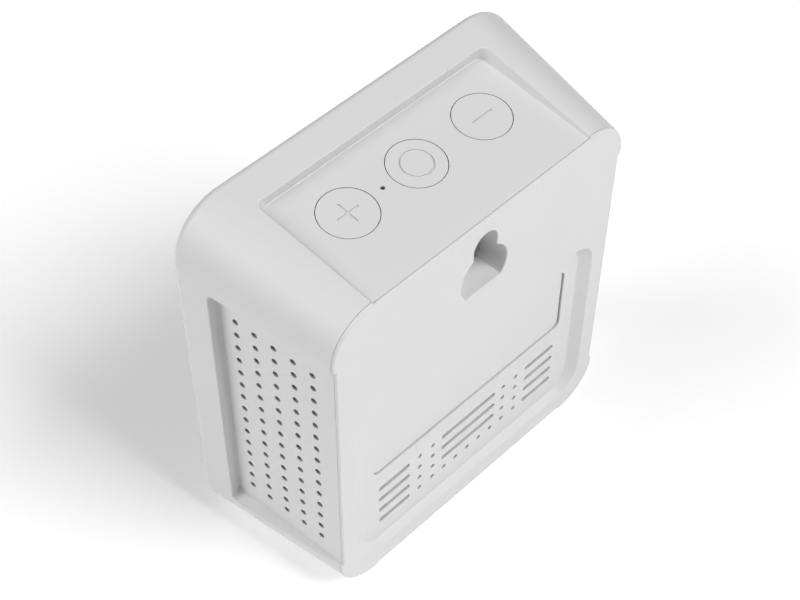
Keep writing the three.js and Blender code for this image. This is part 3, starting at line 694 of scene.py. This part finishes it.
def rear_cover():
    cover = part_of_body(REAR_Y - COVER_EDGE, REAR_Y + 1)
    round_edges(cover, COVER_RIM_EDGE, 50, 4, on_rear_face)
    add(cover, cover_inside())
    cut(cover, pocket())
    round_edges(cover, POCKET_EDGE, 25, 4, near_pocket)
    half = BAY["half_width"]
    bay = block("bay", (-half, half), (BAY_FLOOR_Y, REAR_Y), (BAY["bottom"], BAY["top"]))
    cut(cover, door_seat(), bay, vents())
    cut(cover, keyhole())
    return round_edges(cover, KEYHOLE_EDGE, 60, 4, near_keyhole)


def battery_door():
    door = prism("door", rounded(**DOOR), (DOOR_INNER_Y, DOOR_OUTER_Y))
    return round_edges(door, HOLE_EDGE, 60, 3)


# ---------------------------------------------------------------- keys


def key_mark(name):
    span = (-MARK_DEPTH, 1)

    def bar(half_x, half_y):
        outline = rounded(half_x, -half_y, half_y, MARK_HALF_WIDTH - 0.01, 5)
        return loft("bar", [[(x, y, z) for x, y in outline] for z in span])

    if name == "ring":
        ring = post_z("ring", MARK_RING_RADIUS + MARK_HALF_WIDTH, span, 0, 0, 96)
        return cut(ring, post_z("core", MARK_RING_RADIUS - MARK_HALF_WIDTH, (-1, 2), 0, 0, 96))
    mark = bar(MARK_HALF_LENGTH, MARK_HALF_WIDTH)
    if name == "plus":
        add(mark, bar(MARK_HALF_WIDTH, MARK_HALF_LENGTH))
    return mark


def key(name):
    """A round key, flush with the top floor, with a flange and a stem below."""
    flange_top = -WALL - GAP
    flange_bottom = flange_top - KEY_FLANGE_THICKNESS
    cap = post_z("cap", KEY_RADIUS, (flange_bottom, 0), 0, 0, 96)
    round_edges(cap, KEY_EDGE, 60, 3, lambda m: m.z > -0.1)
    add(cap, post_z("flange", KEY_FLANGE, (flange_bottom, flange_top), 0, 0, 96))
    add(cap, post_z("stem", KEY_STEM_RADIUS, (KEY_STEM_END, flange_top), 0, 0, 24))
    cut(cap, key_mark(name))
    round_edges(cap, MARK_EDGE, 60, 2, lambda m: m.z > -0.01 and m.xy.length < KEY_RADIUS - 1)
    return placed(cap, TOP_FRAME @ Matrix.Translation((KEY_X[name], -KEY_FROM_REAR, 0)))


# ---------------------------------------------------------------- lens, feet and port


def display_lens():
    lens = prism("lens", rounded(**LENS, steps=16), (FRONT_Y, FRONT_Y + LENS_THICKNESS))
    return round_edges(lens, LENS_EDGE, 60, 4, lambda m: m.y < FRONT_Y + 0.01)


def turned(name, profile, sides=48):
    """A solid of revolution about Z, from (radius, height) points that run up its outside."""
    return loft(name, [[(x, y, height) for x, y in circle(radius, sides)] for radius, height in profile])


def rubber_foot(node):
    low, high = node_box(node)
    radius = (high.x - low.x) / 2
    height = high.z - low.z
    profile = [(radius - 0.9, 0), (radius - 0.6, 0.06), (radius - 0.4, 0.22), (radius - 0.25, 0.5)]
    profile += [(radius - 0.1, height - 0.35), (radius, height - 0.15), (radius - 0.05, height)]
    foot = turned("foot", profile)
    return placed(foot, Matrix.Translation(((low.x + high.x) / 2, (low.y + high.y) / 2, 0)))


def usb_port():
    low, high = node_box("usb_port")
    half_width, half_depth = (high.x - low.x) / 2, (high.y - low.y) / 2
    height = high.z - low.z

    def tube(name, grow, span):
        outline = rounded(half_width, -half_depth, half_depth, 1.5, grow=grow)
        return loft(name, [[(x, y, z) for x, y in outline] for z in span])

    shell = tube("shell", 0, (0, height))
    cut(shell, tube("mouth", -0.4, (-0.5, height - 1)))
    round_edges(shell, USB_SHELL_EDGE, 60, 2, lambda m: m.z < 0.01)
    rings = []
    for z, inset in ((0.8, 0.2), (1.05, 0), (height - 0.5, 0)):
        outline = rounded(3.2 - inset, inset - 0.35, 0.35 - inset, 0.05, 3)
        rings.append([(x, y, z) for x, y in outline])
    tongue = loft("tongue", rings)
    return placed(add(shell, tongue), Matrix.Translation((0, (low.y + high.y) / 2, low.z)))


# ---------------------------------------------------------------- battery


def battery_cell():
    """A cell along X: rolled edges, a sleeve that laps over its ends, and the positive cap."""
    low, high = node_box("battery_cell")
    radius = (high.z - low.z) / 2
    length = high.x - low.x - CELL_CAP
    profile = [(radius - 1.2, 0), (radius - 1.1, 0.12), (radius - 0.5, 0.12)]
    profile += [(radius - 0.15, 0.3), (radius, 0.7)]
    profile += [(radius, length - 0.9), (radius - 0.2, length - 0.4), (radius - 0.6, length - 0.15)]
    profile += [(radius - 1.3, length - 0.1), (radius - 1.5, length - 0.35), (2.9, length - 0.3)]
    profile += [(2.7, length - 0.1), (2.6, length + CELL_CAP - 0.2), (2.3, length + CELL_CAP)]
    centre = Matrix.Translation((low.x, (low.y + high.y) / 2, (low.z + high.z) / 2))
    return placed(turned("cell", profile), centre @ Matrix.Rotation(math.radians(90), 4, "Y"))


def battery_spring():
    """A conical coil, wide at the bay's end and narrow at the cell."""
    low, high = node_box("battery_spring")
    centre_y = node_box("battery_cell")[0].y + CELL_RADIUS
    centre_z = (BAY["bottom"] + BAY["top"]) / 2
    wire = SPRING_WIRE
    steps, sides = 150, 10
    turn = [2 * math.pi * i / sides for i in range(sides)]
    rings = []
    for step in range(steps + 1):
        share = step / steps
        angle = share * SPRING_TURNS * 2 * math.pi
        radius = SPRING_WIDE - SPRING_NARROWING * share
        out = Vector((0, math.cos(angle), math.sin(angle)))
        along = low.x + wire + share * (high.x - low.x - 2 * wire)
        middle = Vector((along, centre_y, centre_z)) + radius * out
        rings.append([middle + wire * (math.cos(t) * out + math.sin(t) * Vector((1, 0, 0))) for t in turn])
    return loft("spring", rings)


# ---------------------------------------------------------------- materials


def shader_of(name):
    material = bpy.data.materials.new(name)
    material.use_nodes = True
    return material, material.node_tree, material.node_tree.nodes["Principled BSDF"]


def place_of(tree, stretch=(1, 1, 1)):
    """Coordinates in metres in the row frame, with each axis stretched."""
    coordinates = tree.nodes.new("ShaderNodeTexCoord")
    mapping = tree.nodes.new("ShaderNodeMapping")
    mapping.inputs["Scale"].default_value = stretch
    tree.links.new(coordinates.outputs["Object"], mapping.inputs["Vector"])
    return mapping.outputs["Vector"]


def noise(tree, scale, detail=3.0, stretch=(1, 1, 1)):
    texture = tree.nodes.new("ShaderNodeTexNoise")
    texture.inputs["Scale"].default_value = scale
    texture.inputs["Detail"].default_value = detail
    tree.links.new(place_of(tree, stretch), texture.inputs["Vector"])
    return texture.outputs["Fac"]


def bands(tree, scale, axis):
    texture = tree.nodes.new("ShaderNodeTexWave")
    texture.bands_direction = axis
    texture.inputs["Scale"].default_value = scale
    tree.links.new(place_of(tree), texture.inputs["Vector"])
    return texture.outputs["Fac"]


def maths(tree, operation, first, second):
    node = tree.nodes.new("ShaderNodeMath")
    node.operation = operation
    for socket, value in zip(node.inputs, (first, second)):
        if isinstance(value, (int, float)):
            socket.default_value = value
        else:
            tree.links.new(value, socket)
    return node.outputs["Value"]


def colours(tree, factor, stops):
    """A colour ramp through (position, colour) stops."""
    ramp = tree.nodes.new("ShaderNodeValToRGB")
    elements = ramp.color_ramp.elements
    for element, (position, colour) in zip(elements, (stops[0], stops[-1])):
        element.position = position
        element.color = (*colour, 1)
    for position, colour in stops[1:-1]:
        elements.new(position).color = (*colour, 1)
    tree.links.new(factor, ramp.inputs["Fac"])
    return ramp.outputs["Color"]


def levels(tree, factor, low, high, span=(0, 1)):
    node = tree.nodes.new("ShaderNodeMapRange")
    node.inputs["From Min"].default_value, node.inputs["From Max"].default_value = span
    node.inputs["To Min"].default_value = low
    node.inputs["To Max"].default_value = high
    tree.links.new(factor, node.inputs["Value"])
    return node.outputs["Result"]


def bump(tree, shader, height, distance, strength=1.0):
    node = tree.nodes.new("ShaderNodeBump")
    node.inputs["Distance"].default_value = distance
    node.inputs["Strength"].default_value = strength
    tree.links.new(height, node.inputs["Height"])
    tree.links.new(node.outputs["Normal"], shader.inputs["Normal"])


def painted_gap_shade(tree, colour):
    """Paints shade into a colour in narrow holes and gaps, by ambient occlusion, as the lights alone leave
    them too pale.
    """
    occlusion = tree.nodes.new("ShaderNodeAmbientOcclusion")
    occlusion.inputs["Distance"].default_value = PAINTED_SHADE_REACH
    occlusion.samples = 6
    shade = levels(tree, occlusion.outputs["AO"], 0, 1, (PAINTED_SHADE_DARKEST, PAINTED_SHADE_CLEAR))
    mix = tree.nodes.new("ShaderNodeMix")
    mix.data_type = "RGBA"
    mix.blend_type = "MULTIPLY"
    mix.inputs["Factor"].default_value = 1
    tree.links.new(colour, mix.inputs["A"])
    shades = [(0, (PAINTED_SHADE_BRIGHTNESS, PAINTED_SHADE_BRIGHTNESS, PAINTED_SHADE_BRIGHTNESS)), (1, (1, 1, 1))]
    tree.links.new(colours(tree, shade, shades), mix.inputs["B"])
    return mix.outputs["Result"]


def moulded(name, shade, roughness=0.5, spread=0.02, grain=4500, relief=4e-6):
    """Moulded plastic: a faint cloudiness, a fine satin grain from the mould, and painted shade in narrow
    holes and gaps.
    """
    material, tree, shader = shader_of(name)
    cloud = noise(tree, 60)
    stops = [(0.3, [c * (1 - spread) for c in shade]), (0.7, [c * (1 + spread) for c in shade])]
    # The base colour carries painted shade in holes and gaps.
    tree.links.new(painted_gap_shade(tree, colours(tree, cloud, stops)), shader.inputs["Base Color"])
    fine = noise(tree, grain, 2)
    tree.links.new(levels(tree, fine, roughness - 0.06, roughness + 0.06), shader.inputs["Roughness"])
    bump(tree, shader, fine, relief, 0.5)
    return material


def rubber():
    material = moulded("rubber", (0.42, 0.42, 0.43), 0.85, 0.06, 2600, 2e-5)
    material.node_tree.nodes["Principled BSDF"].inputs["Specular IOR Level"].default_value = 0.3
    return material


def smoked_lens():
    """Dark polished plastic, with the display's window a shade lighter and faint smears in the gloss."""
    material, tree, shader = shader_of("smoked_lens")
    parts = tree.nodes.new("ShaderNodeSeparateXYZ")
    tree.links.new(place_of(tree), parts.inputs["Vector"])
    half_width = WINDOW["half_width"] * MM
    middle = (WINDOW["bottom"] + WINDOW["top"]) / 2 * MM
    half_height = (WINDOW["top"] - WINDOW["bottom"]) / 2 * MM
    in_width = maths(tree, "LESS_THAN", maths(tree, "ABSOLUTE", parts.outputs["X"], 0), half_width)
    from_middle = maths(tree, "ABSOLUTE", maths(tree, "SUBTRACT", parts.outputs["Z"], middle), 0)
    window = maths(tree, "MULTIPLY", in_width, maths(tree, "LESS_THAN", from_middle, half_height))
    clouded = maths(tree, "MULTIPLY", window, levels(tree, noise(tree, 90), 0.85, 1))
    shades = [(0, (0.008, 0.0085, 0.009)), (1, (0.028, 0.031, 0.033))]
    tree.links.new(colours(tree, clouded, shades), shader.inputs["Base Color"])
    tree.links.new(levels(tree, noise(tree, 45, 5), 0.04, 0.13), shader.inputs["Roughness"])
    shader.inputs["Coat Weight"].default_value = 0.6
    return material


def display():
    material, tree, shader = shader_of("display")
    dots = maths(tree, "MULTIPLY", bands(tree, 900, "X"), bands(tree, 900, "Z"))
    shades = [(0, (0.03, 0.034, 0.036)), (1, (0.065, 0.072, 0.075))]
    tree.links.new(colours(tree, dots, shades), shader.inputs["Base Color"])
    tree.links.new(levels(tree, noise(tree, 60), 0.25, 0.35), shader.inputs["Roughness"])
    return material


def steel():
    """Plated sheet: fine drawn lines, and uneven gloss."""
    material, tree, shader = shader_of("steel")
    lines = noise(tree, 900, 4, (1, 1, 0.08))
    shades = [(0.3, (0.5, 0.51, 0.52)), (0.7, (0.68, 0.69, 0.7))]
    tree.links.new(colours(tree, lines, shades), shader.inputs["Base Color"])
    tree.links.new(levels(tree, lines, 0.22, 0.42), shader.inputs["Roughness"])
    shader.inputs["Metallic"].default_value = 1
    bump(tree, shader, lines, 3e-6, 0.4)
    return material


def circuit_board():
    """Green solder mask, raised a little over its copper tracks."""
    material, tree, shader = shader_of("circuit_board")
    tracks = maths(tree, "GREATER_THAN", bands(tree, 260, "X"), 0.72)
    patches = maths(tree, "GREATER_THAN", noise(tree, 120, 1), 0.5)
    copper = maths(tree, "MULTIPLY", tracks, patches)
    shades = [(0, (0.012, 0.09, 0.035)), (1, (0.03, 0.17, 0.06))]
    tree.links.new(colours(tree, copper, shades), shader.inputs["Base Color"])
    tree.links.new(levels(tree, noise(tree, 300), 0.28, 0.42), shader.inputs["Roughness"])
    bump(tree, shader, copper, 2e-5, 0.5)
    return material


def filter_mesh():
    """A fine woven dust mesh: threads cross with dark gaps between them."""
    material, tree, shader = shader_of("filter_mesh")
    threads = maths(tree, "MAXIMUM", bands(tree, 1100, "X"), bands(tree, 1100, "Z"))
    shades = [(0.2, (0.02, 0.02, 0.02)), (0.9, (0.09, 0.09, 0.092))]
    tree.links.new(colours(tree, threads, shades), shader.inputs["Base Color"])
    tree.links.new(levels(tree, noise(tree, 800), 0.75, 0.95), shader.inputs["Roughness"])
    bump(tree, shader, threads, 3e-5, 0.8)
    return material


def ribbon():
    """Amber film over copper strips that run along the cable."""
    material, tree, shader = shader_of("ribbon")
    strips = bands(tree, 320, "X")
    shades = [(0.4, (0.42, 0.17, 0.03)), (0.6, (0.62, 0.3, 0.09))]
    tree.links.new(colours(tree, strips, shades), shader.inputs["Base Color"])
    tree.links.new(levels(tree, noise(tree, 400), 0.3, 0.45), shader.inputs["Roughness"])
    bump(tree, shader, strips, 1e-5, 0.5)
    return material


def cell_sleeve():
    """A shrink sleeve in two colours along X, with bare metal at both ends."""
    material, tree, shader = shader_of("cell_sleeve")
    low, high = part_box("battery_cell")
    parts = tree.nodes.new("ShaderNodeSeparateXYZ")
    tree.links.new(place_of(tree), parts.inputs["Vector"])
    along = tree.nodes.new("ShaderNodeMapRange")
    along.inputs["From Min"].default_value = low.x
    along.inputs["From Max"].default_value = high.x
    tree.links.new(parts.outputs["X"], along.inputs["Value"])
    metal, blue, grey = (0.6, 0.6, 0.61), (0.03, 0.09, 0.2), (0.5, 0.51, 0.52)
    stops = [(0, metal), (0.004, blue), (0.7, blue), (0.702, grey), (0.962, grey), (0.97, metal)]
    tree.links.new(colours(tree, along.outputs["Result"], stops), shader.inputs["Base Color"])
    tree.links.new(levels(tree, noise(tree, 150), 0.2, 0.34), shader.inputs["Roughness"])
    bump(tree, shader, noise(tree, 500), 1e-5, 0.3)
    return material


def pale_floor():
    material, tree, shader = shader_of("pale_floor")
    stops = [(0.3, (0.93, 0.93, 0.93)), (0.7, (0.95, 0.95, 0.95))]
    tree.links.new(colours(tree, noise(tree, 8), stops), shader.inputs["Base Color"])
    shader.inputs["Roughness"].default_value = 0.9
    shader.inputs["Specular IOR Level"].default_value = 0.1
    shader.inputs["Emission Color"].default_value = (1, 1, 1, 1)
    shader.inputs["Emission Strength"].default_value = FLOOR_GLOW
    return material


MATERIALS = {
    "case_plastic": moulded("case_plastic", (0.66, 0.66, 0.66), 0.5, 0.006),
    "dark_plastic": moulded("dark_plastic", (0.03, 0.03, 0.032), 0.5, 0.1),
    "grey_plastic": moulded("grey_plastic", (0.2, 0.205, 0.21), 0.5, 0.05),
    "lens": smoked_lens(),
    "display": display(),
    "steel": steel(),
    "circuit_board": circuit_board(),
    "filter_mesh": filter_mesh(),
    "ribbon": ribbon(),
    "cell_sleeve": cell_sleeve(),
    "rubber": rubber(),
}

# ---------------------------------------------------------------- the pieces


def finish_piece(piece, name, body, slot, *nodes):
    """Scales a piece to metres, smooths it, and puts it on its body in place of its CAD nodes."""
    piece.name = name
    piece.data.name = name
    piece.data.transform(Matrix.Scale(MM, 4))
    piece.data.materials.clear()
    piece.data.materials.append(MATERIALS[slot])
    for polygon in piece.data.polygons:
        polygon.use_smooth = True
        polygon.material_index = 0
    piece.data.set_sharp_from_angle(angle=math.radians(SMOOTH_ANGLE))
    weighted = piece.modifiers.new("normals", "WEIGHTED_NORMAL")
    weighted.keep_sharp = True
    weighted.weight = 100
    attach(piece, body)
    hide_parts(*nodes)


def carried_over():
    """CAD nodes that no piece replaces keep their shape and take their slot's material."""
    for entry in frame["record"]["subparts"]:
        node = frame["nodes"][entry["node"]]
        if node.hide_render:
            continue
        node.data.materials.clear()
        node.data.materials.append(MATERIALS[entry["material_slot"]])


finish_piece(front_case(), "front_shell", "case", "case_plastic", "front_case")
finish_piece(rear_cover(), "rear_shell", "case", "case_plastic", "rear_cover")
finish_piece(battery_door(), "door_panel", "door", "case_plastic", "battery_door")
for mark in KEY_X:
    finish_piece(key(mark), f"key_{mark}", f"{mark}_key", "case_plastic", f"button_{mark}")
finish_piece(display_lens(), "front_lens", "case", "lens", "display_lens")
for number in range(1, 5):
    foot_node = f"rubber_foot_{number}"
    finish_piece(rubber_foot(foot_node), f"foot_{number}", "case", "rubber", foot_node)
finish_piece(usb_port(), "usb_socket", "case", "steel", "usb_port")
finish_piece(battery_cell(), "cell", "case", "cell_sleeve", "battery_cell")
finish_piece(battery_spring(), "spring", "case", "steel", "battery_spring")
carried_over()

# ---------------------------------------------------------------- stage


def camera():
    data = bpy.data.cameras.new("camera")
    data.lens = CAMERA_LENS
    data.sensor_width = 36
    data.clip_start = 0.01
    built = bpy.data.objects.new("camera", data)
    built.location = CAMERA_PLACE
    built.rotation_euler = [math.radians(angle) for angle in CAMERA_TURN]
    bpy.context.scene.collection.objects.link(built)
    bpy.context.scene.camera = built


def softbox(name, azimuth, elevation, size, power, distance=1.2):
    """A square area light aimed at the object."""
    data = bpy.data.lights.new(name, "AREA")
    data.size = size
    data.energy = power
    turn, rise = math.radians(azimuth), math.radians(elevation)
    away = Vector((math.sin(turn) * math.cos(rise), -math.cos(turn) * math.cos(rise), math.sin(rise)))
    built = bpy.data.objects.new(name, data)
    built.location = AIM + distance * away
    built.rotation_euler = away.to_track_quat("Z", "Y").to_euler()
    bpy.context.scene.collection.objects.link(built)


def pale_stage():
    half = FLOOR_HALF_WIDTH
    corners = [(-half, -half, 0), (half, -half, 0), (half, half, 0), (-half, half, 0)]
    floor = mesh_object("floor", corners, [(0, 1, 2, 3)])
    floor.data.materials.append(pale_floor())


def world_light():
    world = bpy.data.worlds.new("world")
    world.use_nodes = True
    world.node_tree.nodes["Background"].inputs["Color"].default_value = (1, 1, 1, 1)
    world.node_tree.nodes["Background"].inputs["Strength"].default_value = WORLD_STRENGTH
    bpy.context.scene.world = world


camera()
pale_stage()
world_light()
softbox("rear", azimuth=200, elevation=50, size=0.6, power=12.8)
softbox("side", azimuth=60, elevation=38, size=0.8, power=8.8)
softbox("fill", azimuth=285, elevation=40, size=0.8, power=0.5)
bpy.context.scene.view_settings.view_transform = "Standard"
